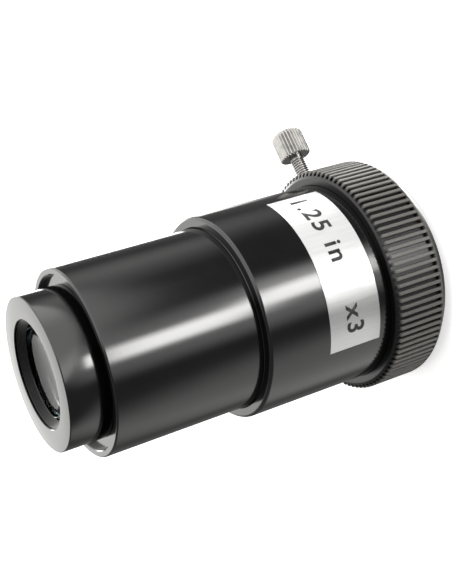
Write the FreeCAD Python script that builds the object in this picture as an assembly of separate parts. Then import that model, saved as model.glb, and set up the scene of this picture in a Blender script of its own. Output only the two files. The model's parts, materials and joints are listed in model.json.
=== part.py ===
"""A 1.25 inch telescope barlow: lens cell, nosepiece, body, knurled collar and clamp screw.

Frame: millimetres. The optical axis is Z, the origin is the centre of the collar's rear face, +Z points
at the lens and +X along the clamp screw. The label faces -Y. Each piece gets a STEP file of its own.
"""

import math
import os

import FreeCAD
import Part

V = FreeCAD.Vector
ORIGIN = V(0, 0, 0)
AXIS = V(0, 0, 1)

# ---- Driving sizes, in millimetres and degrees -------------------------------------------------

# The 1.25 inch standard, and how much smaller or larger the two ends are
barrel_size = 31.75
nose_slack = 0.05
socket_slack = 0.05

# Body tube
socket_depth = 28.0
web_thickness = 2.0  # the stop that an eyepiece meets
web_ledge = 2.9
nose_seat_depth = 5.5
body_wall = 1.85
body_rounding = 0.55
groove_width = 0.23  # in the front face, close round the nosepiece
groove_depth = 0.2

# Knurled collar
collar_height = 11.5
collar_wall = 1.65  # from the body to the bottom of the grooves
collar_lip = 1.5  # closes the collar behind the body tube
rib_count = 100
rib_depth = 0.75
rib_share = 0.46  # width of a rib as a share of its pitch
rib_end_bevel = 0.6
rib_end_drop = 1.15
rim_height = 2.5  # plain rim behind the ribs
rim_taper = 2.0
rim_edge = 0.3
rim_rounding = 0.8
rear_rounding = 0.5

# Nosepiece
nose_length = 26.2  # what shows in front of the body
nose_wall = 1.65
nose_spigot_step = 0.6  # from the tube down to the thread that holds it in the body
nose_mouth_wall = 1.18  # round the ring that carries the lens cell
nose_rounding = 0.3
baffle_rise = 14.0  # above the nosepiece's inner end
baffle_thickness = 1.0
baffle_ledge = 3.7
baffle_edge = 0.2

# Threaded ring that carries the lens cell
mount_ring_height = 4.0
mount_ring_recess = 1.0  # below the nosepiece's rim

# Lens cell
recess_gap = 1.79  # between the snout and the nosepiece's mouth
snout_length = 7.3
snout_wall = 3.8
snout_rounding = 0.18
spigot_length = 4.5
spigot_step = 0.88
pocket_edge = 0.08
pocket_ledge = 0.88

# Lenses
lens_slack = 0.08
lens_land = 0.4  # flat rim round each lens face
crown_front_curve = 28.0
cemented_curve = 20.0
flint_rear_curve = 60.0
crown_centre = 1.5
flint_centre = 3.4
seat_ring_thickness = 0.3
seat_ring_width = 0.66

# Retaining ring
retainer_setback = 0.4  # below the cell's face
retainer_height = 1.3
retainer_mouth_wall = 0.48
retainer_throat_wall = 1.68
retainer_slot_width = 1.0
retainer_slot_depth = 0.5

# Clamp screw
screw_height = 6.7
screw_radius = 1.25
screw_end_rounding = 0.15
head_stand_off = 4.55  # from the ribs to the underside of the head, as left after the last use
head_length = 5.4
head_radius = 2.95
head_crown_radius = 1.3
head_flute_depth = 0.28
head_flutes = 28
head_flute_share = 0.5
head_dome = 0.45
head_rounding = 0.9
head_seat_depth = 3.2  # of the stud inside the head
pad_setback = 0.3  # clear of the eyepiece socket
pad_length = 0.8
pad_step = 0.3
pad_rounding = 0.15
pad_stem_radius = 0.5
pad_stem_length = 1.2

# Label
label_start = -42.0
label_sweep = 100.7
label_rise = 2.3  # above the collar
label_width = 10.05
label_thickness = 0.06

# Clearances
glue_gap = 0.02  # between pieces that are screwed or pressed together for good
thread_gap = 0.08  # between threads that turn
seat_gap = 0.05  # between faces that turn on each other
lens_gap = 0.05
edge_break = 0.15

# ---- Places worked out from the sizes ----------------------------------------------------------

nose_radius = (barrel_size - nose_slack) / 2
socket_radius = (barrel_size + socket_slack) / 2
body_radius = socket_radius + body_wall
nose_spigot_radius = nose_radius - nose_spigot_step
rib_root_radius = body_radius + collar_wall
rib_tip_radius = rib_root_radius + rib_depth
nose_bore_radius = nose_radius - nose_wall

nose_base = socket_depth + web_thickness
body_front = nose_base + nose_seat_depth
nose_front = body_front + nose_length
counterbore_radius = nose_radius - nose_mouth_wall
mount_ring_top = nose_front - mount_ring_recess
mount_ring_base = mount_ring_top - mount_ring_height

snout_radius = counterbore_radius - recess_gap
spigot_radius = snout_radius - spigot_step
pocket_radius = snout_radius - snout_wall
cell_shoulder = mount_ring_top + seat_gap
cell_face = mount_ring_top + snout_length
spigot_end = cell_shoulder - spigot_length
lens_radius = pocket_radius - lens_slack
clear_radius = lens_radius - lens_land

retainer_top = cell_face - retainer_setback
retainer_base = retainer_top - retainer_height


def sag(curve, radius):
    """How deep a dish of that radius of curvature is at that radius from the axis."""
    return curve - math.sqrt(curve**2 - radius**2)


crown_front = retainer_base - lens_gap
crown_edge = crown_centre + sag(crown_front_curve, clear_radius) + sag(cemented_curve, clear_radius)
crown_back = crown_front - crown_edge
flint_front = crown_back - glue_gap
flint_edge = flint_centre - sag(cemented_curve, clear_radius) + sag(flint_rear_curve, clear_radius)
flint_back = flint_front - flint_edge
seat_ring_top = flint_back - lens_gap
pocket_floor = seat_ring_top - seat_ring_thickness

head_underside = rib_tip_radius + head_stand_off
head_top = head_underside + head_length
pad_tip = socket_radius + pad_setback
pad_shoulder = pad_tip + pad_length
stud_tip = pad_shoulder + seat_gap
stud_end = head_underside + head_seat_depth

label_low = collar_height + label_rise
label_inner = body_radius + glue_gap / 2


# ---- Shapes ------------------------------------------------------------------------------------


def rounded_corner(before, corner, after, size):
    """The two ends and the middle of the arc that rounds a corner."""
    to_before = (before - corner).normalize()
    to_after = (after - corner).normalize()
    half = to_before.getAngle(to_after) / 2
    reach = size / math.tan(half)
    centre = corner + (to_before + to_after).normalize() * (size / math.sin(half))
    middle = centre + (corner - centre).normalize() * size
    return corner + to_before * reach, middle, corner + to_after * reach


def profile(corners):
    """A face in the XZ plane from (radius, height) corners, each with an optional rounding."""
    points = [V(corner[0], 0, corner[1]) for corner in corners]
    starts = list(points)
    ends = list(points)
    edges = []
    for i, corner in enumerate(corners):
        if len(corner) > 2:
            after = points[(i + 1) % len(points)]
            starts[i], middle, ends[i] = rounded_corner(points[i - 1], points[i], after, corner[2])
            edges.append(Part.Arc(starts[i], middle, ends[i]).toShape())
    for i, end in enumerate(ends):
        edges.append(Part.LineSegment(end, starts[(i + 1) % len(points)]).toShape())
    return Part.Face(Part.Wire(Part.sortEdges(edges)[0]))


def turned(corners, sweep=360):
    """A solid turned about Z from (radius, height) corners, each with an optional rounding."""
    return profile(corners).revolve(ORIGIN, AXIS, sweep)


def ring(inner, outer, low, high):
    """A plain ring about Z."""
    return turned([(inner, low), (outer, low), (outer, high), (inner, high)])


def ribbed_prism(count, root, tip, share, low, high):
    """A straight prism about Z with ribs that stand from the root radius to the tip radius."""
    pitch = 2 * math.pi / count
    points = []
    for i in range(count):
        for radius, side in ((root, -1), (tip, -1), (tip, 1), (root, 1)):
            angle = pitch * (i + side * share / 2)
            points.append(V(radius * math.cos(angle), radius * math.sin(angle), low))
    face = Part.Face(Part.makePolygon(points + points[:1]))
    return face.extrude(V(0, 0, high - low))


def along_screw(solid):
    """Lays a solid that was made along Z on the clamp screw's axis, with its top pointing along +X."""
    laid = solid.copy()
    laid.rotate(ORIGIN, V(0, 1, 0), 90)
    laid.translate(V(0, 0, screw_height))
    return laid


def screw_hole():
    """The drilling for the clamp screw, from inside the socket to beyond the ribs."""
    start = socket_radius / 2
    return along_screw(Part.makeCylinder(screw_radius + thread_gap, head_top - start, V(0, 0, start)))


def lens_face(height, curve):
    """Half a lens face. Its middle is above its flat land for a positive curve, below for a negative one."""
    side = math.copysign(1, curve)
    depth = sag(abs(curve), clear_radius)
    halfway_depth = depth - sag(abs(curve), clear_radius / 2)
    middle = V(0, 0, height + side * depth)
    halfway = V(clear_radius / 2, 0, height + side * halfway_depth)
    return middle, Part.Arc(middle, halfway, V(clear_radius, 0, height)).toShape()


def lens(back, back_curve, front, front_curve):
    """A lens between two heights, with a flat land round each face."""
    back_middle, back_arc = lens_face(back, back_curve)
    front_middle, front_arc = lens_face(front, front_curve)
    rim = Part.makePolygon(
        [
            V(clear_radius, 0, back),
            V(lens_radius, 0, back),
            V(lens_radius, 0, front),
            V(clear_radius, 0, front),
        ]
    )
    axis_line = Part.LineSegment(back_middle, front_middle).toShape()
    edges = Part.sortEdges([back_arc, front_arc, axis_line] + rim.Edges)[0]
    return Part.Face(Part.Wire(edges)).revolve(ORIGIN, AXIS, 360)


# ---- Pieces ------------------------------------------------------------------------------------


def knurled_collar():
    """The grip round the eyepiece end: straight ribs, a plain tapered rim and a bored lip."""
    ribs = ribbed_prism(rib_count, rib_root_radius, rib_tip_radius, rib_share, rim_height, collar_height)
    rim = Part.makeCylinder(rib_tip_radius, rim_height)
    envelope = turned(
        [
            (0, 0),
            (rib_tip_radius - rim_taper, 0, rear_rounding),
            (rib_tip_radius, rim_height - rim_edge, rim_rounding),
            (rib_tip_radius, collar_height - rib_end_bevel),
            (rib_tip_radius - rib_end_drop, collar_height),
            (0, collar_height),
        ]
    )
    lip_bore = Part.makeCylinder(socket_radius, collar_height)
    seat = Part.makeCylinder(body_radius + glue_gap, collar_height, V(0, 0, collar_lip))
    blank = ribs.fuse(rim).common(envelope)
    return blank.cut(lip_bore).cut(seat).cut(screw_hole()).removeSplitter()


def body_tube():
    """The main tube: the eyepiece socket, a web that stops the eyepiece, and the nosepiece's seat."""
    seat_radius = nose_spigot_radius + glue_gap
    tube = turned(
        [
            (socket_radius, collar_lip),
            (body_radius, collar_lip),
            (body_radius, body_front, body_rounding),
            (nose_radius + groove_width, body_front),
            (nose_radius + groove_width / 2, body_front - groove_depth),
            (nose_radius, body_front),
            (seat_radius, body_front),
            (seat_radius, nose_base),
            (socket_radius - web_ledge, nose_base),
            (socket_radius - web_ledge, socket_depth),
            (socket_radius, socket_depth),
        ]
    )
    return tube.cut(screw_hole())


def nosepiece_tube():
    """The 1.25 inch tube, counterbored in front for the ring that carries the lens cell."""
    return turned(
        [
            (nose_bore_radius, nose_base),
            (nose_spigot_radius, nose_base),
            (nose_spigot_radius, body_front),
            (nose_radius, body_front),
            (nose_radius, nose_front, nose_rounding),
            (counterbore_radius + edge_break, nose_front),
            (counterbore_radius, nose_front - edge_break),
            (counterbore_radius, mount_ring_base),
            (nose_bore_radius, mount_ring_base),
        ]
    )


def glare_baffle():
    """A thin blackened stop with a knife edge, pushed into the nosepiece."""
    low = nose_base + baffle_rise
    high = low + baffle_thickness
    outer = nose_bore_radius - glue_gap
    inner = nose_bore_radius - baffle_ledge
    return turned(
        [
            (inner, low),
            (outer, low),
            (outer, high),
            (inner + baffle_thickness - baffle_edge, high),
            (inner, low + baffle_edge),
        ]
    )


def cell_mount_ring():
    """The threaded ring in the nosepiece's mouth that the lens cell screws into."""
    return ring(spigot_radius + thread_gap, counterbore_radius - glue_gap, mount_ring_base, mount_ring_top)


def lens_cell():
    """The snout in front, with a threaded spigot behind and a pocket for the lenses."""
    return turned(
        [
            (pocket_radius - pocket_ledge, spigot_end),
            (spigot_radius, spigot_end, edge_break),
            (spigot_radius, cell_shoulder),
            (snout_radius, cell_shoulder),
            (snout_radius, cell_face, snout_rounding),
            (pocket_radius + pocket_edge, cell_face),
            (pocket_radius, cell_face - pocket_edge),
            (pocket_radius, pocket_floor),
            (pocket_radius - pocket_ledge, pocket_floor),
        ]
    )


def lens_retaining_ring():
    """The threaded ring that holds the lenses in, coned inside, with two slots for a pin spanner."""
    coned = turned(
        [
            (pocket_radius - retainer_throat_wall, retainer_base),
            (pocket_radius - glue_gap, retainer_base),
            (pocket_radius - glue_gap, retainer_top),
            (pocket_radius - retainer_mouth_wall, retainer_top),
        ]
    )
    slot_corner = V(-pocket_radius, -retainer_slot_width / 2, retainer_top - retainer_slot_depth)
    slot = Part.makeBox(2 * pocket_radius, retainer_slot_width, retainer_slot_depth, slot_corner)
    return coned.cut(slot)


def lens_seat_ring():
    """A thin washer between the lenses and the floor of the pocket."""
    outer = pocket_radius - glue_gap
    return ring(outer - seat_ring_width, outer, pocket_floor, seat_ring_top)


def crown_lens():
    """The crown element of the cemented doublet, dished on both faces."""
    return lens(crown_back, cemented_curve, crown_front, -crown_front_curve)


def flint_lens():
    """The flint meniscus cemented behind the crown."""
    return lens(flint_back, flint_rear_curve, flint_front, cemented_curve)


def body_label():
    """The foil label stuck round part of the body."""
    outer = label_inner + label_thickness
    high = label_low + label_width
    corners = [(label_inner, label_low), (outer, label_low), (outer, high), (label_inner, high)]
    strip = turned(corners, label_sweep)
    strip.rotate(ORIGIN, AXIS, label_start - label_sweep)
    return strip


def thumbscrew_stud():
    """The threaded stud, drilled at its tip for the pad."""
    shaft = turned(
        [
            (0, stud_tip),
            (screw_radius, stud_tip, screw_end_rounding),
            (screw_radius, stud_end),
            (0, stud_end),
        ]
    )
    drilling_depth = pad_stem_length + seat_gap
    drilling = Part.makeCylinder(pad_stem_radius + seat_gap, drilling_depth, V(0, 0, stud_tip))
    return along_screw(shaft.cut(drilling))


def thumbscrew_head():
    """The fluted, domed finger knob pressed onto the stud."""
    root = head_radius - head_flute_depth
    flutes = ribbed_prism(head_flutes, root, head_radius, head_flute_share, head_underside, head_top)
    envelope = turned(
        [
            (0, head_underside),
            (head_radius - edge_break, head_underside),
            (head_radius, head_underside + edge_break),
            (head_radius, head_top - head_dome, head_rounding),
            (head_crown_radius, head_top, head_rounding),
            (0, head_top),
        ]
    )
    socket = Part.makeCylinder(screw_radius + glue_gap, head_seat_depth + glue_gap, V(0, 0, head_underside))
    return along_screw(flutes.common(envelope).cut(socket).removeSplitter())


def thumbscrew_pad():
    """The soft pad at the stud's tip, which presses on the eyepiece and does not turn."""
    pad_radius = screw_radius - pad_step
    stem_end = pad_shoulder + pad_stem_length
    return along_screw(
        turned(
            [
                (0, pad_tip),
                (pad_radius, pad_tip, pad_rounding),
                (pad_radius, pad_shoulder),
                (pad_stem_radius, pad_shoulder),
                (pad_stem_radius, stem_end),
                (0, stem_end),
            ]
        )
    )


PIECES = [
    knurled_collar,
    body_tube,
    nosepiece_tube,
    glare_baffle,
    cell_mount_ring,
    lens_cell,
    lens_retaining_ring,
    lens_seat_ring,
    crown_lens,
    flint_lens,
    body_label,
    thumbscrew_stud,
    thumbscrew_head,
    thumbscrew_pad,
]

os.makedirs("parts", exist_ok=True)
for piece in PIECES:
    shape = piece()
    box = shape.BoundBox
    print(
        f"{piece.__name__:20s} valid {shape.isValid()}, {len(shape.Solids)} solid, "
        f"{shape.Volume:8.2f} mm3, z {box.ZMin:6.2f} to {box.ZMax:6.2f}"
    )
    shape.exportStep(f"parts/{piece.__name__}.step")
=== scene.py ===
# %% [markdown]
# # A telescope barlow, finished in Blender
#
# A barlow is a tube with a small dished lens in front. It goes between a telescope and an eyepiece and
# makes the picture larger. This one has five things to look at: a recessed lens cell, a plain nosepiece,
# a wider body with a foil label, a knurled collar, and a small clamp screw.
#
# The engineering model comes first and stays where it is. This lesson dresses it: it keeps the turned
# tubes, makes the knurl, the threads and the print as real shapes, and gives each finish its own nodes.

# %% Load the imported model
import json
import math

import bmesh
import bpy
from mathutils import Matrix, Vector


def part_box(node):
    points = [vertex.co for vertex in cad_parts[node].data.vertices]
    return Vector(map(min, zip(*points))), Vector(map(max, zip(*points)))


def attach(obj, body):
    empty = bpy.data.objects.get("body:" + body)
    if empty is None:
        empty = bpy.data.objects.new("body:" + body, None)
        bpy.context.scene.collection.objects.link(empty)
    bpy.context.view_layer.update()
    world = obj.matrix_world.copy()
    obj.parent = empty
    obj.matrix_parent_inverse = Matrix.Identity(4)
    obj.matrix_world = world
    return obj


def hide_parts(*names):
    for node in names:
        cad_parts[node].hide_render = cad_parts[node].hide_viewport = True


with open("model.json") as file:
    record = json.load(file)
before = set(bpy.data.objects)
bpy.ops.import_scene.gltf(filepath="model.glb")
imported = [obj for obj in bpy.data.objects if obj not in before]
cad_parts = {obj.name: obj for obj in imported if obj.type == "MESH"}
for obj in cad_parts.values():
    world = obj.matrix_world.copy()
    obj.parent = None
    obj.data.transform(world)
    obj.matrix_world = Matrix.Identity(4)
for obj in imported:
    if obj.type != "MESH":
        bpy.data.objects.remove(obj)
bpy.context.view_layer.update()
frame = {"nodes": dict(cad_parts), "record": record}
MM = 0.001
print("pieces in the frame:", len(frame["nodes"]))

# %% [markdown]
# ## Sizes that the pieces share
#
# Every place below is read from the frame, so the new shapes sit exactly where the engineering model says.
# Only the details that the frame doesn't name, such as the depth of a rib, are written once, in millimetres.

# %% Sizes from the frame
collar_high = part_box("knurled_collar")[1]
body_low, body_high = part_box("body_tube")
cell_low, cell_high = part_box("lens_cell")
mount_low, mount_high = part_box("cell_mount_ring")
stud_low, stud_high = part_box("thumbscrew_stud")
head_low, head_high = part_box("thumbscrew_head")
label_low, label_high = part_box("body_label")
pocket_low, pocket_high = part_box("lens_retaining_ring")
seat_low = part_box("lens_seat_ring")[0]
screw_height = (head_low.z + head_high.z) / 2
rib_depth = 0.75
thread_gap = 0.08
print("clamp screw at", round(screw_height / MM, 2), "mm above the rear face")

# %% [markdown]
# ## The camera
#
# A product shot from a little above, with the barlow lying across the picture. The barlow stands upright
# in its own frame, so the camera is rolled instead of the barlow. A long lens from close by keeps the
# gentle perspective of such shots. The camera looks at a point inside the body from a set distance,
# which is easier to think about than a bare position and three angles.

# %% Camera
camera_aim = Vector((3.61, -0.92, 31.86)) * MM
camera_distance = 190.48 * MM
camera_azimuth = math.radians(-14.281)
camera_elevation = math.radians(26.220)
camera_roll = math.radians(107.055)
camera_focal_length = 68.266


def camera_matrix():
    """Stands the camera back from its aim, then rolls it about its own line of sight."""
    level = math.cos(camera_elevation)
    forward = Vector(
        (
            -math.sin(camera_azimuth) * level,
            math.cos(camera_azimuth) * level,
            -math.sin(camera_elevation),
        )
    )
    level_right = Vector((math.cos(camera_azimuth), math.sin(camera_azimuth), 0))
    level_up = level_right.cross(forward)
    up = level_up * math.cos(camera_roll) + level_right * math.sin(camera_roll)
    right = forward.cross(up)
    turn = Matrix((right, up, -forward)).transposed().to_4x4()
    return Matrix.Translation(camera_aim - forward * camera_distance) @ turn


camera = bpy.data.objects.new("camera", bpy.data.cameras.new("camera"))
bpy.context.scene.collection.objects.link(camera)
camera.matrix_world = camera_matrix()
camera.data.lens = camera_focal_length
camera.data.clip_start = 0.005
camera.data.clip_end = 100
bpy.context.scene.camera = camera
bpy.context.scene.view_settings.view_transform = "Standard"
print("camera at", [round(value / MM, 1) for value in camera.matrix_world.translation], "mm")

# %% [markdown]
# ## Shader maths as plain Python
#
# Node graphs are hard to read as code. The class below wraps one socket of a node tree. Adding or
# multiplying two wrapped sockets makes the Math node that does it, so a pattern can be written as a
# formula. Any other node comes from `add`, which sets the node's own settings first and its sockets next.

# %% A wrapped socket
class Wire:
    """One output socket of a node tree, to be used in a formula."""

    def __init__(self, tree, socket):
        self.tree = tree
        self.socket = socket

    def add(self, kind, settings=None, sockets=None, output=0):
        """Makes a node of a kind, with its settings, then its sockets' values or links."""
        node = self.tree.nodes.new(kind)
        for name, value in (settings or {}).items():
            setattr(node, name, value)
        for name, value in (sockets or {}).items():
            if isinstance(value, Wire):
                self.tree.links.new(value.socket, node.inputs[name])
            else:
                node.inputs[name].default_value = value
        return Wire(self.tree, node.outputs[output] if node.outputs else None)

    def math(self, operation, *values):
        return self.add("ShaderNodeMath", {"operation": operation}, dict(enumerate(values)))

    def __add__(self, other):
        return self.math("ADD", self, other)

    def __radd__(self, other):
        return self.math("ADD", other, self)

    def __sub__(self, other):
        return self.math("SUBTRACT", self, other)

    def __rsub__(self, other):
        return self.math("SUBTRACT", other, self)

    def __mul__(self, other):
        return self.math("MULTIPLY", self, other)

    def __rmul__(self, other):
        return self.math("MULTIPLY", other, self)

    def __truediv__(self, other):
        return self.math("DIVIDE", self, other)

    def __rtruediv__(self, other):
        return self.math("DIVIDE", other, self)

    def __pow__(self, other):
        return self.math("POWER", self, other)

    def __abs__(self):
        return self.math("ABSOLUTE", self)

    def ramp(self, low, high, to_low=0.0, to_high=1.0):
        """Goes smoothly from one value to another while this one goes from low to high."""
        settings = {"interpolation_type": "SMOOTHSTEP"}
        sockets = {"Value": self, "From Min": low, "From Max": high, "To Min": to_low, "To Max": to_high}
        return self.add("ShaderNodeMapRange", settings, sockets, "Result")

    def blend(self, start, end):
        """Mixes two colours, with this value as the share of the second."""
        return self.add("ShaderNodeMix", {"data_type": "RGBA"}, {0: self, 6: start, 7: end}, 2)


def empty_tree(tree):
    """Clears a tree and gives a wire to start a formula with."""
    tree.nodes.clear()
    return Wire(tree, None)


print("shader helpers ready")

# %% [markdown]
# ## The studio
#
# Gloss black has almost no colour of its own: what you see is the room in it. So the room is designed
# first. Each soft box is a patch of sky with a direction, a size, a soft edge and a brightness, and they
# are simply added up in the world shader. Two key strips give the long white line along the nosepiece
# and the body, a ceiling lights the flat faces, and dim fill panels shape the dark sides. The ceiling is
# darker towards -X, so the label is white at one end and grey at the other. Area lamps could do the
# same, but patches of sky never get into the picture, and they light every view alike.

# %% Soft boxes
def sky_direction(azimuth, elevation):
    """The way to a point of the sky. Azimuth turns from +X towards +Y, and both are in degrees."""
    turn = math.radians(azimuth)
    rise = math.radians(elevation)
    return Vector((math.cos(turn) * math.cos(rise), math.sin(turn) * math.cos(rise), math.sin(rise)))


def soft_box(direction, azimuth, elevation, lean, half_size, softness, strength, flags=None):
    """A rectangular patch of light in the sky, as a formula of the direction looked in.

    Flags are two black cards that cut the patch off level, below one elevation and above another."""
    centre = sky_direction(azimuth, elevation)
    level = sky_direction(azimuth + 90, 0)
    upright = centre.cross(level)
    tilt = math.radians(lean)
    across = level * math.cos(tilt) + upright * math.sin(tilt)
    along = upright * math.cos(tilt) - level * math.sin(tilt)
    ahead = dot(direction, centre)
    light = ahead.ramp(0.0, 0.05, 0.0, strength)
    for axis, half, soft in zip((across, along), half_size, softness):
        angle = abs(dot(direction, axis)).math("ARCTAN2", abs(dot(direction, axis)), ahead)
        light = light * angle.ramp(math.radians(half - soft), math.radians(half + soft), 1.0, 0.0)
    if flags:
        height = dot(direction, Vector((0, 0, 1)))
        low, high = (math.sin(math.radians(flag)) for flag in flags)
        light = light * height.ramp(low, low + flag_softness)
        light = light * height.ramp(high - flag_softness, high, 1.0, 0.0)
    return light


def dot(wire, vector):
    sockets = {0: wire, 1: vector}
    return wire.add("ShaderNodeVectorMath", {"operation": "DOT_PRODUCT"}, sockets, "Value")


flag_softness = 0.008
# name: azimuth, elevation, lean, half size, softness, strength, flags
soft_boxes = {
    "upper key strip": (-106.5, -23.2, 23, (6.6, 9), (3.6, 1), 15.4, (-27.4, -19.0)),
    "lower key strip": (-98.4, -30, 18, (6.4, 9), (3.6, 1), 14.6, (-34, -27.0)),
    "lower key skirt": (-88, -31, 0, (8, 6), (7, 3), 3.2, (-34, -27.0)),
    "knurl fill": (38, -44, 0, (30, 10), (12, 4), 9.0, (-60, -34.3)),
    "key spill": (-106, -26, 49, (17, 23), (7, 13), 1.4),
    "front panel": (-56, -12, 0, (69, 9.5), (4, 2.5), 1.95),
    "left fill": (165, -35, 59, (20, 29), (8, 14), 0.9),
    "right fill": (-12, -15, 69, (10, 23), (9, 14), 0.85),
    "rear strip": (56, -6, 0, (5, 20), (3, 5), 7.0),
}
dim_room = 0.18
ceiling = 2.1
ceiling_dim_side = 0.12
ceiling_sides = (-0.25, 0.2)
ceiling_starts = -8
ceiling_full = 3


def light_the_studio():
    """Adds the soft boxes and the ceiling up in the world shader."""
    world = bpy.data.worlds.new("studio")
    bpy.context.scene.world = world
    world.use_nodes = True
    tree = empty_tree(world.node_tree)
    direction = tree.add("ShaderNodeTexCoord", output="Object")
    height = dot(direction, Vector((0, 0, 1)))
    low = math.sin(math.radians(ceiling_starts))
    side = dot(direction, Vector((1, 0, 0))).ramp(*ceiling_sides, ceiling * ceiling_dim_side, ceiling)
    light = height.ramp(low, math.sin(math.radians(ceiling_full)), dim_room, side)
    for settings in soft_boxes.values():
        light = light + soft_box(direction, *settings)
    background = tree.add("ShaderNodeBackground", {}, {"Color": (1, 0.995, 0.98, 1), "Strength": light})
    tree.add("ShaderNodeOutputWorld", {}, {"Surface": background})
    return world


print("studio:", light_the_studio().name, "with", len(soft_boxes), "soft boxes")

# %% [markdown]
# ## The floor
#
# The barlow stands on its rear face on a white sweep. The sweep is wide, and has walls far away, so it
# fills the background from any side. It is kept out of the reflections, because a real one would be
# flagged off with black card to keep the tubes dark. It glows a little, so it stays pure white.

# %% Floor
floor_half_width = 20.0


def pale_floor():
    """A wide square under the barlow with four walls round it."""
    half = floor_half_width
    mesh = bpy.data.meshes.new("floor")
    corners = [(-half, -half, 0), (half, -half, 0), (half, half, 0), (-half, half, 0)]
    corners += [(x, y, half) for x, y, _ in corners]
    walls = [(i, i + 4, (i + 1) % 4 + 4, (i + 1) % 4) for i in range(4)]
    mesh.from_pydata(corners, [], [(0, 1, 2, 3)] + walls)
    floor = bpy.data.objects.new("floor", mesh)
    bpy.context.scene.collection.objects.link(floor)
    floor.visible_glossy = False
    floor.visible_diffuse = False
    floor.visible_transmission = False
    floor.visible_shadow = False
    return floor


floor = pale_floor()
print("floor is", 2 * floor_half_width, "m wide")

# %% [markdown]
# ## Finishes
#
# A turned and anodised tube isn't one flat black. The lathe leaves rings too fine to see one by one,
# polishing leaves faint lines along the tube, and the dye is a little uneven. These are written as
# patterns of the place on the piece: its height, its distance from the axis and its turn about the axis.

# %% Patterns that the finishes share
def object_place(tree):
    """The place on a piece, in the frame that all pieces share."""
    return tree.add("ShaderNodeTexCoord", output="Object")


def round_place(place):
    """The height, the distance from the axis and the turn about it."""
    x, y, z = (dot(place, Vector(axis)) for axis in ((1, 0, 0), (0, 1, 0), (0, 0, 1)))
    distance = (x * x + y * y) ** 0.5
    turn = x.math("ARCTAN2", y, x)
    return z, distance, turn


def join(x, y, z):
    return next(wire for wire in (x, y, z) if isinstance(wire, Wire)).add(
        "ShaderNodeCombineXYZ", {}, {"X": x, "Y": y, "Z": z}
    )


def noise(place, scale, detail=2.0, roughness=0.5):
    """Smooth random values about one half."""
    sockets = {"Vector": place, "Scale": scale, "Detail": detail, "Roughness": roughness}
    return place.add("ShaderNodeTexNoise", {}, sockets, 0)


def bump(height, depth):
    """A bump whose height is in metres."""
    sockets = {"Height": height, "Distance": depth, "Strength": 1.0}
    return height.add("ShaderNodeBump", {}, sockets, 0)


def finish_named(name, build):
    """A material whose nodes are made by a function that gives the sockets of its shader."""
    material = bpy.data.materials.new(name)
    material.use_nodes = True
    tree = empty_tree(material.node_tree)
    shader = tree.add("ShaderNodeBsdfPrincipled", {}, build(tree))
    tree.add("ShaderNodeOutputMaterial", {}, {"Surface": shader})
    return material


print("patterns ready")

# %% [markdown]
# ### Gloss black anodised aluminium
#
# Anodising is a clear hard layer, dyed black. It reflects like glass, about six percent straight on, so
# it is a dielectric here and not a metal. The rings and the lines change the roughness and tilt the
# surface by a hair, which is what makes a real reflection shimmer.

# %% Black anodised finish
def gloss_black(tree):
    place = object_place(tree)
    z, distance, turn = round_place(place)
    lathe_rings = noise(join(distance * 9000, z * 9000, 0.0), 1.0)
    polish_lines = noise(join(turn * 55, 0.0, z * 30), 1.0, 4.0, 0.65)
    cloud = noise(place, 160.0, 3.0)
    dye = cloud.ramp(0.3, 0.7).blend((0.0015, 0.0015, 0.0018, 1), (0.003, 0.003, 0.0034, 1))
    height = lathe_rings * 0.3 + polish_lines
    return {
        "Base Color": dye,
        "Roughness": 0.085 + polish_lines * 0.05 + lathe_rings * 0.03,
        "IOR": 1.6,
        "Normal": bump(height, 0.0000015),
    }


black_anodised = finish_named("black_anodised", gloss_black)
print("made", black_anodised.name)

# %% [markdown]
# ### The collar's finish, with painted light and painted shade
#
# The tips of the ribs are a dry grey, partly rubbed by fingers and partly painted light that stands in for
# the light the tips catch. One mask says how far out a point is, from the bottom of a gap to a tip, and
# both the colour and the roughness follow it. The gaps and the collar's shoulder have a second finish,
# which is painted shade: it is blacker than the tubes and shines only when seen at a slant, so it has a low
# index of refraction.

# %% Collar finishes
# Over this band the rib goes from near-black to grey: partly finger wear, partly painted light on the tips.
tip_wear_and_light_from = collar_high.x - 0.75 * rib_depth * MM
tip_wear_and_light_full = collar_high.x - 0.1 * rib_depth * MM


def knurl_wear_and_painted_light(tree):
    z, distance, turn = round_place(object_place(tree))
    wear = noise(join(turn * 260, 0.0, z * 700), 1.0, 4.0, 0.6)
    out = distance.ramp(tip_wear_and_light_from, tip_wear_and_light_full)
    # Tip grey: finger wear and painted light together.
    tip_grey_wear_and_light = out * (0.55 + wear * 0.9)
    return {
        "Base Color": tip_grey_wear_and_light.blend((0.0012, 0.0012, 0.0013, 1), (0.115, 0.111, 0.103, 1)),
        "Roughness": 0.30 + out * (0.08 + wear * 0.14),
        "IOR": 1.45,
        "Normal": bump(wear, 0.000006),
    }


def painted_shade_shoulder(tree):
    _, distance, turn = round_place(object_place(tree))
    rings = noise(join(distance * 9000, 0.0, turn * 2), 1.0)
    return {
        # Near-black base with a barely reflecting index of refraction: painted shade for the gaps and the
        # shoulder.
        "Base Color": rings.ramp(0.3, 0.7).blend((0.001, 0.001, 0.0011, 1), (0.002, 0.002, 0.0022, 1)),
        "Roughness": 0.16 + rings * 0.08,
        "IOR": 1.09,
        "Normal": bump(rings, 0.0000015),
    }


collar_knurl = finish_named("collar_knurl", knurl_wear_and_painted_light)
collar_painted_shade = finish_named("collar_painted_shade", painted_shade_shoulder)
print("made", collar_knurl.name, "and", collar_painted_shade.name)

# %% [markdown]
# ### Matt black
#
# Pieces inside the light path are blasted before they are dyed, so stray light dies on them. A fine
# grain in the roughness and the surface does this.

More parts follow.
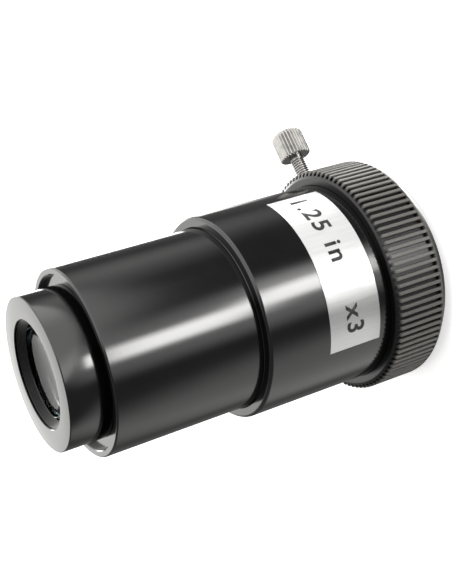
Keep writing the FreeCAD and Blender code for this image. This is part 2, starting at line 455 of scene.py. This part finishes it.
# %% Matt black finish
def matt_black(tree):
    place = object_place(tree)
    z, distance, _ = round_place(place)
    grain = noise(place, 9000.0, 3.0)
    rings = noise(join(distance * 14000, z * 14000, 0.0), 1.0)
    return {
        "Base Color": grain.ramp(0.3, 0.7).blend((0.004, 0.004, 0.0045, 1), (0.009, 0.009, 0.01, 1)),
        "Roughness": 0.32 + grain * 0.12,
        "IOR": 1.5,
        "Normal": bump(grain * 0.5 + rings * 0.5, 0.000004),
    }


matt = finish_named("matt_black", matt_black)
print("made", matt.name)

# %% [markdown]
# ### Glass
#
# Two cemented lenses with a thin coating. A trace of haze in the roughness keeps them from looking like
# holes. The green-grey tint is the coating's.

# %% Glass finish
def coated_glass(tree):
    haze = noise(object_place(tree), 700.0, 3.0)
    return {
        "Base Color": haze.ramp(0.3, 0.8).blend((0.50, 0.54, 0.55, 1), (0.44, 0.48, 0.49, 1)),
        "Roughness": haze.ramp(0.45, 0.8, 0.0, 0.05),
        "IOR": 1.3,
        "Transmission Weight": 1.0,
    }


glass = finish_named("optical_glass", coated_glass)
print("made", glass.name)

# %% [markdown]
# ### Foil label
#
# The label is silver film, brushed round the tube. The brush marks smear a reflection along the tube, so
# each part of the label mixes the ceiling with the dark room below it: white where the ceiling is bright,
# grey with streaks where it is dim. The shader's anisotropy does the smearing, turned by a quarter.

# %% Label finish
def satin_foil(tree):
    z, _, turn = round_place(object_place(tree))
    grain = noise(join(turn * 90, 0.0, z * 160), 1.0, 5.0, 0.6)
    ripple = noise(join(turn * 9, 0.0, z * 60), 1.0, 2.0)
    return {
        "Base Color": grain.ramp(0.3, 0.7).blend((0.78, 0.785, 0.79, 1), (0.86, 0.86, 0.86, 1)),
        "Metallic": 0.85,
        "Roughness": 0.3 + grain * 0.12,
        "Anisotropic": 0.9,
        "Anisotropic Rotation": 0.25,
        "Normal": bump(grain * 0.15 + ripple, 0.00005),
    }


foil = finish_named("foil_label", satin_foil)


def printing_ink(tree):
    grain = noise(object_place(tree), 5000.0, 3.0)
    return {
        "Base Color": grain.ramp(0.3, 0.8).blend((0.008, 0.008, 0.009, 1), (0.03, 0.03, 0.03, 1)),
        "Roughness": 0.35 + grain * 0.15,
    }


ink = finish_named("printing_ink", printing_ink)
print("made", foil.name, "and", ink.name)

# %% [markdown]
# ### Bright nickel, nylon, the shim and the sweep
#
# Nickel plate is a warm, pale metal. The screw is laid along X, so its turning marks follow X.

# %% Nickel, nylon, shim and sweep finishes
def bright_nickel(tree):
    place = object_place(tree)
    along = dot(place, Vector((1, 0, 0)))
    marks = noise(join(along * 12000, 0.0, 0.0), 1.0)
    cloud = noise(place, 900.0, 3.0)
    return {
        "Base Color": cloud.ramp(0.35, 0.7).blend((0.37, 0.36, 0.345, 1), (0.29, 0.285, 0.275, 1)),
        "Metallic": 1.0,
        "Roughness": 0.14 + cloud * 0.12 + marks * 0.04,
        "Normal": bump(marks, 0.0000015),
    }


def natural_nylon(tree):
    cloud = noise(object_place(tree), 1500.0, 3.0)
    return {
        "Base Color": cloud.ramp(0.3, 0.7).blend((0.84, 0.83, 0.77, 1), (0.76, 0.74, 0.68, 1)),
        "Roughness": 0.4 + cloud * 0.15,
        "Normal": bump(cloud, 0.00001),
    }


def black_shim(tree):
    grain = noise(object_place(tree), 4000.0, 3.0)
    return {
        "Base Color": grain.ramp(0.3, 0.7).blend((0.03, 0.03, 0.03, 1), (0.05, 0.05, 0.05, 1)),
        "Roughness": 0.45 + grain * 0.2,
        "Normal": bump(grain, 0.000005),
    }


nickel = finish_named("bright_nickel", bright_nickel)
nylon = finish_named("nylon", natural_nylon)
shim = finish_named("shim", black_shim)


def white_sweep(tree):
    cloud = noise(object_place(tree), 3.0, 2.0)
    return {
        "Base Color": cloud.ramp(0.3, 0.7).blend((0.86, 0.86, 0.86, 1), (0.9, 0.9, 0.9, 1)),
        "Roughness": 0.9,
        "Specular IOR Level": 0.0,
        "Emission Color": (1, 1, 1, 1),
        "Emission Strength": 0.6,
    }


floor.data.materials.append(finish_named("white_sweep", white_sweep))
print("made", nickel.name, nylon.name, shim.name)

# %% [markdown]
# ## The carried-over pieces
#
# The tubes, the rings, the lenses and the pad already have their right shape. They only take their finish.

# %% Finishes for the pieces that stay
finish_of_slot = {
    "black_anodised": black_anodised,
    "matt_black": matt,
    "shim": shim,
    "optical_glass": glass,
    "foil_label": foil,
    "bright_nickel": nickel,
    "nylon": nylon,
}
for subpart in frame["record"]["subparts"]:
    node = frame["nodes"][subpart["node"]]
    for slot in node.material_slots:
        slot.material = finish_of_slot[subpart["material_slot"]]

# %% [markdown]
# ## A tree for turned pieces
#
# A knurled ring is one rib, repeated. A turned ring is one narrow wedge, repeated. So one Geometry Nodes
# tree makes both: it takes the mesh of a wedge, sets a copy on each point of a circle, turns each copy to
# its place and welds the seams. The same tree then cuts a thread: wherever a point lies between two
# heights, its distance from the axis goes up and down with its height and its turn, which is exactly what
# a screw is.

# %% The turning tree
def group_input(tree, name, kind, default=None):
    """A named input of a Geometry Nodes tree, with a value to start from."""
    socket = tree.interface.new_socket(name=name, in_out="INPUT", socket_type=kind)
    if default is not None:
        socket.default_value = default


def cut_thread(geometry, value):
    """Moves the points of a cylinder along a helix. A negative depth cuts outwards, as in a nut."""
    place = geometry.add("GeometryNodeInputPosition")
    x, y, z = (dot(place, Vector(axis)) for axis in ((1, 0, 0), (0, 1, 0), (0, 0, 1)))
    distance = (x * x + y * y) ** 0.5
    turns = x.math("ARCTAN2", y, x) / (2 * math.pi)
    along_helix = z / value["Thread Pitch"] - turns
    tooth = abs(along_helix.math("FRACT", along_helix) * 2 - 1)
    groove = tooth.ramp(0.1, 0.6, 1.0, 0.0)
    runout = value["Thread Runout"]
    entry = z.ramp(value["Thread Low"], value["Thread Low"] + runout)
    leaving = z.ramp(value["Thread High"] - runout, value["Thread High"], 1.0, 0.0)
    on_wall = distance.math("COMPARE", distance, value["Thread Radius"], 1e-5)
    depth = groove * entry * leaving * on_wall * value["Thread Depth"]
    shrink = 1 - depth / (distance + 1e-9)
    sockets = {"Geometry": geometry, "Position": join(x * shrink, y * shrink, z)}
    return geometry.add("GeometryNodeSetPosition", {}, sockets)


def turning_tree():
    """Repeats a wedge round the axis, welds it, cuts a thread into it and gives it a finish."""
    tree = bpy.data.node_groups.new("turned_piece", "GeometryNodeTree")
    group_input(tree, "Wedge", "NodeSocketGeometry")
    group_input(tree, "Wedges", "NodeSocketInt", 100)
    group_input(tree, "Weld Distance", "NodeSocketFloat", 1e-7)
    group_input(tree, "Thread Low", "NodeSocketFloat", 0.0)
    group_input(tree, "Thread High", "NodeSocketFloat", 1.0)
    group_input(tree, "Thread Radius", "NodeSocketFloat", 1.0)
    group_input(tree, "Thread Pitch", "NodeSocketFloat", 0.001)
    group_input(tree, "Thread Depth", "NodeSocketFloat", 0.0)
    group_input(tree, "Thread Runout", "NodeSocketFloat", 0.0003)
    group_input(tree, "Finish", "NodeSocketMaterial")
    tree.interface.new_socket(name="Piece", in_out="OUTPUT", socket_type="NodeSocketGeometry")
    entry = tree.nodes.new("NodeGroupInput")
    value = {socket.name: Wire(tree, socket) for socket in entry.outputs if socket.name}
    start = Wire(tree, None)
    points = start.add("GeometryNodePoints", {}, {"Count": value["Wedges"]})
    turn = start.add("GeometryNodeInputIndex") * (2 * math.pi) / value["Wedges"]
    sockets = {"Points": points, "Instance": value["Wedge"], "Rotation": join(0.0, 0.0, turn)}
    copies = start.add("GeometryNodeInstanceOnPoints", {}, sockets)
    solid = start.add("GeometryNodeRealizeInstances", {}, {"Geometry": copies})
    sockets = {"Geometry": solid, "Distance": value["Weld Distance"]}
    welded = start.add("GeometryNodeMergeByDistance", {}, sockets)
    threaded = cut_thread(welded, value)
    sockets = {"Geometry": threaded, "Material": value["Finish"]}
    finished = start.add("GeometryNodeSetMaterial", {}, sockets)
    leave = tree.nodes.new("NodeGroupOutput")
    tree.links.new(finished.socket, leave.inputs["Piece"])
    return tree


turned_piece_tree = turning_tree()
print("turning tree has", len(turned_piece_tree.nodes), "nodes")

# %% [markdown]
# ## The wedge and its outline
#
# A turned piece is fixed by its outline: half its section, drawn as distance from the axis against
# height. A corner may be rounded, because a tool or a polishing wheel always takes the edge off, and that
# thin curve is what catches the light. A wedge carries the outline round by one step. A rib or a flute is
# a rule that lowers the outline in some of the wedge's columns.

# %% Outlines and wedges
rounding_steps = 5
usual_sharp_angle = 32


def rounded(before, corner, after, size):
    """The points of an arc that rounds a corner of an outline."""
    to_before = (before - corner).normalized()
    to_after = (after - corner).normalized()
    half = to_before.angle(to_after) / 2
    centre = corner + (to_before + to_after).normalized() * (size / math.sin(half))
    first = corner + to_before * (size / math.tan(half)) - centre
    last = corner + to_after * (size / math.tan(half)) - centre
    sweep = first.angle(last)
    points = []
    for i in range(rounding_steps + 1):
        share = i / rounding_steps
        mixed = first * math.sin((1 - share) * sweep) + last * math.sin(share * sweep)
        points.append(centre + mixed / math.sin(sweep))
    return points


def outline(corners):
    """Outline points in metres from (distance, height, rounding) corners in millimetres."""
    places = [Vector(corner[:2]) for corner in corners]
    points = []
    for i, corner in enumerate(corners):
        size = corner[2] if len(corner) > 2 else 0
        if size:
            after = places[(i + 1) % len(places)]
            points += rounded(places[i - 1], places[i], after, size)
        else:
            points.append(places[i])
    return [point * MM for point in points]


def climb(distance, low, high, rows):
    """Corners up a straight wall, close enough together to carry a thread."""
    return [(distance, low + (high - low) * i / rows) for i in range(rows + 1)]


def wedge_mesh(name, points, closed, wedges, columns, rule):
    """Carries an outline round by one wedge. The rule gives the distance from the axis in each column."""
    mesh = bpy.data.meshes.new(name)
    step = 2 * math.pi / wedges
    vertices = []
    for share in columns:
        turn = (share - 0.5) * step
        for point in points:
            distance = rule(point.x, point.y, share)
            vertices.append((distance * math.cos(turn), distance * math.sin(turn), point.y))
    rows = len(points)
    faces = []
    for column in range(len(columns) - 1):
        for row in range(rows if closed else rows - 1):
            above = (row + 1) % rows
            low = column * rows
            high = low + rows
            faces.append((low + row, high + row, high + above, low + above))
    mesh.from_pydata(vertices, [], faces)
    return mesh


def plain(distance, height, share):
    """The rule of a round piece: nothing is cut."""
    return distance


def plain_mesh(holder):
    """The evaluated shape of an object as a mesh of its own."""
    graph = bpy.context.evaluated_depsgraph_get()
    return bpy.data.meshes.new_from_object(holder.evaluated_get(graph))


def close_and_smooth(mesh, sharp_angle):
    """Turns every face outwards and keeps only the true edges sharp."""
    shape = bmesh.new()
    shape.from_mesh(mesh)
    bmesh.ops.recalc_face_normals(shape, faces=shape.faces)
    open_edges = sum(1 for edge in shape.edges if not edge.is_manifold)
    shape.to_mesh(mesh)
    shape.free()
    mesh.shade_smooth()
    mesh.set_sharp_from_angle(angle=math.radians(sharp_angle))
    return open_edges


def turned(
    name,
    finish,
    points,
    wedges,
    closed=True,
    columns=(0, 1),
    rule=plain,
    thread=None,
    lay=None,
    sharp=usual_sharp_angle,
):
    """Makes a turned piece with the tree, as a plain mesh that holds its own place."""
    wedge = wedge_mesh(name + "_wedge", points, closed, wedges, columns, rule)
    holder = bpy.data.objects.new(name, wedge)
    modifier = holder.modifiers.new("turning", "NODES")
    modifier.node_group = turned_piece_tree
    values = {"Wedges": wedges, "Finish": finish, **(thread or {})}
    for item in turned_piece_tree.interface.items_tree:
        if item.in_out == "INPUT" and item.name in values:
            modifier[item.identifier] = values[item.name]
    bpy.context.scene.collection.objects.link(holder)
    mesh = plain_mesh(holder)
    holder.modifiers.remove(modifier)
    holder.data = mesh
    bpy.data.meshes.remove(wedge)
    mesh.name = name
    if lay:
        mesh.transform(lay)
    open_edges = close_and_smooth(mesh, sharp)
    print(name, "has", len(mesh.polygons), "faces and", open_edges, "open edges")
    return holder


def stands_for(piece, node, body):
    """Puts a new piece in the place of the engineering model's plain one."""
    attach(piece, body)
    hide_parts(node)


print("turning tools ready")

# %% [markdown]
# ## The knurled collar
#
# The grip round the eyepiece end has a hundred straight ribs, milled one after another with a flat
# cutter. Behind them is a plain rim that tapers to the rear face. One rib with its two half gaps is the
# wedge. The tips are a little narrower than the gaps, and each tip has a small bevel, which draws the
# thin bright lines that you see down the dark side of the ring.

# %% Knurled collar
rib_count = 100
rib_share = 0.46
rib_tip = collar_high.x / MM
rib_root = rib_tip - rib_depth
rib_start = 2.5
rib_bevel = 0.6
rib_drop = 1.15
rib_edge = 0.035
collar_top = collar_high.z / MM
lip_top = body_low.z / MM
lip_bore = 15.9
collar_seat = body_high.x / MM + 0.02

collar_outline = outline(
    [
        (lip_bore, 0.0),
        (rib_tip - 2.0, 0.0, 0.5),
        (rib_tip, rib_start - 0.3, 0.8),
        (rib_tip, rib_start),
        (rib_tip, rib_start + 0.01),
        (rib_tip, collar_top - rib_bevel),
        (rib_root, collar_top - rib_bevel * (rib_drop - (rib_tip - rib_root)) / rib_drop),
        (rib_tip - rib_drop, collar_top, 0.08),
        (collar_seat, collar_top, 0.08),
        (collar_seat, lip_top),
        (lip_bore, lip_top),
    ]
)
rib_low_side = 0.5 - rib_share / 2
rib_high_side = 0.5 + rib_share / 2
rib_columns = (
    0,
    rib_low_side - 0.015,
    rib_low_side,
    rib_low_side + rib_edge,
    0.5,
    rib_high_side - rib_edge,
    rib_high_side,
    rib_high_side + 0.015,
    1,
)
rib_heights = (0, 0, 0.93, 1, 1, 1, 0.93, 0, 0)


def rib_rule(distance, height, share):
    """Lowers the outline to the bottom of the gap, except on the rim and where it is lower already."""
    if height <= (rib_start + 0.005) * MM or distance <= rib_root * MM:
        return distance
    rise = rib_heights[rib_columns.index(share)]
    return min(distance, (rib_root + (rib_tip - rib_root) * rise) * MM)


collar = turned(
    "knurled_collar_ribbed", collar_knurl, collar_outline, rib_count, columns=rib_columns, rule=rib_rule
)

# %% [markdown]
# The clamp screw passes through the collar. A Boolean with a thin cylinder drills it, after the ribs are
# one closed mesh, because a hole belongs to no single rib. The faces in the gaps and on the shoulder then
# get the black finish that paints shade on them.

# %% Drill the collar and paint shade in its gaps
screw_hole = stud_high.y / MM + thread_gap
drill_start = 14
drill_end = 22
tip_margin = 0.12
looks_up = 0.4


def screw_axis_matrix():
    """Lays a piece that was turned about Z along the clamp screw, with its top towards +X."""
    return Matrix.Translation((0, 0, screw_height)) @ Matrix.Rotation(math.radians(90), 4, "Y")


def drill(piece, radius, start, end):
    """Cuts the screw's hole through a piece."""
    shape = bmesh.new()
    bmesh.ops.create_cone(
        shape, cap_ends=True, segments=40, radius1=radius, radius2=radius, depth=end - start
    )
    mesh = bpy.data.meshes.new("drill")
    shape.to_mesh(mesh)
    shape.free()
    mesh.transform(screw_axis_matrix() @ Matrix.Translation((0, 0, (start + end) / 2)))
    cutter = bpy.data.objects.new("drill", mesh)
    bpy.context.scene.collection.objects.link(cutter)
    modifier = piece.modifiers.new("hole", "BOOLEAN")
    modifier.operation = "DIFFERENCE"
    modifier.solver = "EXACT"
    modifier.object = cutter
    drilled = plain_mesh(piece)
    piece.modifiers.remove(modifier)
    piece.data = drilled
    bpy.data.objects.remove(cutter)
    print(piece.name, "drilled, open edges:", close_and_smooth(drilled, usual_sharp_angle))


drill(collar, screw_hole * MM, drill_start * MM, drill_end * MM)


def paint_shade_on_gaps_and_shoulder(piece):
    """Gives the gaps between the ribs and the faces that look up the finish that paints shade on them."""
    piece.data.materials.append(collar_painted_shade)
    count = 0
    # The faces picked here take the painted shade finish.
    for face in piece.data.polygons:
        lowered = face.center.xy.length < (rib_tip - tip_margin) * MM
        if (lowered and face.center.z > rib_start * MM) or face.normal.z > looks_up:
            face.material_index = 1
            count += 1
    return count


print("dark faces on the collar:", paint_shade_on_gaps_and_shoulder(collar))
stands_for(collar, "knurled_collar", "barrel")

# %% [markdown]
# ## The clamp screw
#
# The finger knob is pressed onto a threaded stud. Its flutes are rounded grooves, so the rule is half a
# cosine wave instead of a step, and the smaller of dome and flute wins at the top. The stud's thread is
# a real helix of 0.45 mm pitch, with a plain neck under the knob.

# %% Clamp screw knob
knob_radius = (head_high.y - head_low.y) / 2 / MM + 0.005
knob_under = head_low.x / MM
knob_top = head_high.x / MM
flute_count = 28
flute_depth = 0.28
flute_columns = tuple(i / 10 for i in range(11))
stud_radius = (stud_high.y - stud_low.y) / 2 / MM + 0.003
stud_end = stud_high.x / MM
knob_outline = outline(
    [
        (0.0, stud_end + 0.02),
        (stud_radius + 0.02, stud_end + 0.02),
        (stud_radius + 0.02, knob_under),
        (knob_radius - 0.2, knob_under, 0.04),
        (knob_radius, knob_under + 0.2, 0.1),
        (knob_radius, knob_under + 2.0),
        (knob_radius, knob_top - 0.45, 0.9),
        (1.3, knob_top, 0.9),
        (0.0, knob_top),
    ]
)


def flute_rule(distance, height, share):
    """Rounded grooves between rounded ridges, as deep as the dome leaves them."""
    if distance < (stud_radius + 0.5) * MM or height <= knob_under * MM:
        return distance
    groove = (0.5 + 0.5 * math.cos(2 * math.pi * share)) ** 1.4
    return min(distance, (knob_radius - flute_depth * groove) * MM)


knob = turned(
    "clamp_screw_knob",
    nickel,
    knob_outline,
    flute_count,
    False,
    flute_columns,
    flute_rule,
    lay=screw_axis_matrix(),
    sharp=50,
)
stands_for(knob, "thumbscrew_head", "thumbscrew")

# %% Clamp screw stud
stud_tip = stud_low.x / MM
stud_thread_pitch = 0.45
stud_thread_depth = 0.22
stud_neck = 0.4
rows_per_pitch = 8
stud_thread_rows = round((knob_under - stud_tip) / stud_thread_pitch * rows_per_pitch)
stud_outline = outline(
    [(0.0, stud_tip + 1.25), (0.55, stud_tip + 1.25), (0.55, stud_tip), (stud_radius, stud_tip, 0.15)]
    + climb(stud_radius, stud_tip + 0.2, knob_under - 0.02, stud_thread_rows)
    + [(stud_radius, stud_end), (0.0, stud_end)]
)
stud = turned(
    "clamp_screw_stud",
    nickel,
    stud_outline,
    48,
    False,
    thread={
        "Thread Low": (stud_tip + 0.15) * MM,
        "Thread High": (knob_under - stud_neck) * MM,
        "Thread Radius": stud_radius * MM,
        "Thread Pitch": stud_thread_pitch * MM,
        "Thread Depth": stud_thread_depth * MM,
    },
    lay=screw_axis_matrix(),
    sharp=60,
)
stands_for(stud, "thumbscrew_stud", "thumbscrew")

# %% [markdown]
# ## The lens cell and its ring
#
# The snout unscrews from a ring inside the nosepiece. When it is out, its threaded spigot and the thread
# in the ring show, so both are cut with the same rule. The ring's depth is negative, because a nut is
# cut outwards.

# %% Lens cell
cell_thread_pitch = 0.6
cell_thread_depth = 0.3
cell_wedges = 180
spigot_radius = 12.0
spigot_end = cell_low.z / MM
cell_shoulder = mount_high.z / MM + 0.05
cell_face = cell_high.z / MM
snout_radius = cell_high.x / MM
pocket_radius = pocket_high.x / MM + 0.02
pocket_floor = seat_low.z / MM
rear_bore = pocket_radius - 0.88
spigot_rows = round((cell_shoulder - spigot_end) / cell_thread_pitch * rows_per_pitch)
cell_outline = outline(
    [(rear_bore, spigot_end), (spigot_radius, spigot_end, 0.15)]
    + climb(spigot_radius, spigot_end + 0.2, cell_shoulder - 0.01, spigot_rows)
    + [
        (spigot_radius, cell_shoulder),
        (snout_radius, cell_shoulder, 0.06),
        (snout_radius, cell_face, 0.18),
        (pocket_radius + 0.08, cell_face),
        (pocket_radius, cell_face - 0.08),
        (pocket_radius, pocket_floor),
        (rear_bore, pocket_floor),
    ]
)
cell = turned(
    "lens_cell_snout",
    black_anodised,
    cell_outline,
    cell_wedges,
    thread={
        "Thread Low": (spigot_end + 0.1) * MM,
        "Thread High": (cell_shoulder - 0.4) * MM,
        "Thread Radius": spigot_radius * MM,
        "Thread Pitch": cell_thread_pitch * MM,
        "Thread Depth": cell_thread_depth * MM,
    },
)
stands_for(cell, "lens_cell", "front_cell")

# %% [markdown]
# ## The retaining ring
#
# The ring that holds the lenses in is screwed into the snout's mouth. Its cone would shine, so it is cut
# with fine grooves that catch stray light: a staircase in the outline makes them.

# %% Retaining ring
ring_base = pocket_low.z / MM
ring_top = pocket_high.z / MM
ring_wall = pocket_high.x / MM
ring_mouth = ring_wall - 0.25
ring_throat = ring_wall - 0.95
ring_lip = 0.05
throat_height = 0.2
groove_count = 7
groove_depth = 0.07
groove_height = 0.08


def grooved_cone():
    """Corners down the cone, with a small ridge for each groove."""
    corners = []
    for i in range(groove_count):
        share = i / (groove_count - 1)
        distance = ring_mouth + (ring_throat - ring_mouth) * share
        height = ring_top - ring_lip - (ring_top - ring_base - ring_lip - throat_height) * share
        corners += [(distance, height), (distance + groove_depth, height - groove_height)]
    return corners


ring_outline = outline(
    [(ring_wall, ring_base), (ring_wall, ring_top), (ring_mouth + ring_lip, ring_top)]
    + grooved_cone()
    + [(ring_throat, ring_base)]
)
retaining_ring = turned("retaining_ring_grooved", matt, ring_outline, cell_wedges)
stands_for(retaining_ring, "lens_retaining_ring", "front_cell")

# %% Mount ring
mount_bore = spigot_radius + thread_gap
mount_radius = mount_high.x / MM
mount_bottom = mount_low.z / MM
mount_top = mount_high.z / MM
mount_rows = round((mount_top - mount_bottom) / cell_thread_pitch * rows_per_pitch)
mount_outline = outline(
    [(mount_radius, mount_bottom), (mount_radius, mount_top), (mount_bore + 0.15, mount_top)]
    + list(reversed(climb(mount_bore, mount_bottom + 0.01, mount_top - 0.15, mount_rows)))
    + [(mount_bore, mount_bottom)]
)
mount = turned(
    "cell_mount_ring_threaded",
    black_anodised,
    mount_outline,
    cell_wedges,
    thread={
        "Thread Low": (mount_bottom + 0.05) * MM,
        "Thread High": (mount_top - 0.1) * MM,
        "Thread Radius": mount_bore * MM,
        "Thread Pitch": cell_thread_pitch * MM,
        "Thread Depth": -cell_thread_depth * MM,
        "Thread Runout": 0.0002,
    },
)
stands_for(mount, "cell_mount_ring", "barrel")

# %% [markdown]
# ## The print on the label
#
# The label carries a plain legend: the size of the nosepiece and the power, as figures. Blender's own
# typeface is turned into a mesh first. It is then sliced into narrow strips, so that it can bend, and
# each point is carried onto the label's cylinder. A thin skin lifts the ink off the foil.

# %% Legend
legend_text = "1.25 in    x3"
legend_height = 3.4 * MM
legend_start = math.radians(-48)
legend_squeeze = 1.0
ink_lift = 0.012 * MM
ink_skin = 0.02 * MM
strip_width = 0.4 * MM
label_radius = -label_low.y
label_middle = (label_low.z + label_high.z) / 2


def flat_letters(text, height, squeeze):
    """The text as a flat mesh, with its lower left corner at the origin."""
    curve = bpy.data.curves.new("legend", "FONT")
    curve.body = text
    curve.offset = 0.02
    curve.space_character = 1.2
    holder = bpy.data.objects.new("legend", curve)
    bpy.context.scene.collection.objects.link(holder)
    mesh = plain_mesh(holder)
    bpy.data.objects.remove(holder)
    low = Vector(min(vertex.co[axis] for vertex in mesh.vertices) for axis in range(3))
    high = Vector(max(vertex.co[axis] for vertex in mesh.vertices) for axis in range(3))
    scale = height / (high.y - low.y)
    mesh.transform(Matrix.Diagonal((scale * squeeze, scale, 1, 1)) @ Matrix.Translation(-low))
    return mesh


def wrapped_legend():
    """Slices the letters, gives them a skin and bends them round the label."""
    mesh = flat_letters(legend_text, legend_height, legend_squeeze)
    width = max(vertex.co.x for vertex in mesh.vertices)
    shape = bmesh.new()
    shape.from_mesh(mesh)
    bmesh.ops.remove_doubles(shape, verts=shape.verts, dist=1e-7)
    for i in range(1, math.ceil(width / strip_width)):
        everything = shape.verts[:] + shape.edges[:] + shape.faces[:]
        cut = Vector((i * strip_width, 0, 0))
        bmesh.ops.bisect_plane(shape, geom=everything, plane_co=cut, plane_no=(1, 0, 0), dist=1e-8)
    grown = bmesh.ops.extrude_face_region(shape, geom=shape.faces[:])
    for item in grown["geom"]:
        if isinstance(item, bmesh.types.BMVert):
            item.co.z = ink_skin
    for vertex in shape.verts:
        distance = label_radius + ink_lift + vertex.co.z
        turn = legend_start - vertex.co.x / label_radius
        height = label_middle + legend_height / 2 - vertex.co.y
        vertex.co = (distance * math.cos(turn), distance * math.sin(turn), height)
    bmesh.ops.recalc_face_normals(shape, faces=shape.faces)
    shape.to_mesh(mesh)
    shape.free()
    mesh.materials.clear()
    mesh.materials.append(ink)
    legend = bpy.data.objects.new("label_legend", mesh)
    bpy.context.scene.collection.objects.link(legend)
    print("legend is", round(width / MM, 1), "mm long with", len(mesh.polygons), "faces")
    return legend


legend = wrapped_legend()
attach(legend, "barrel")
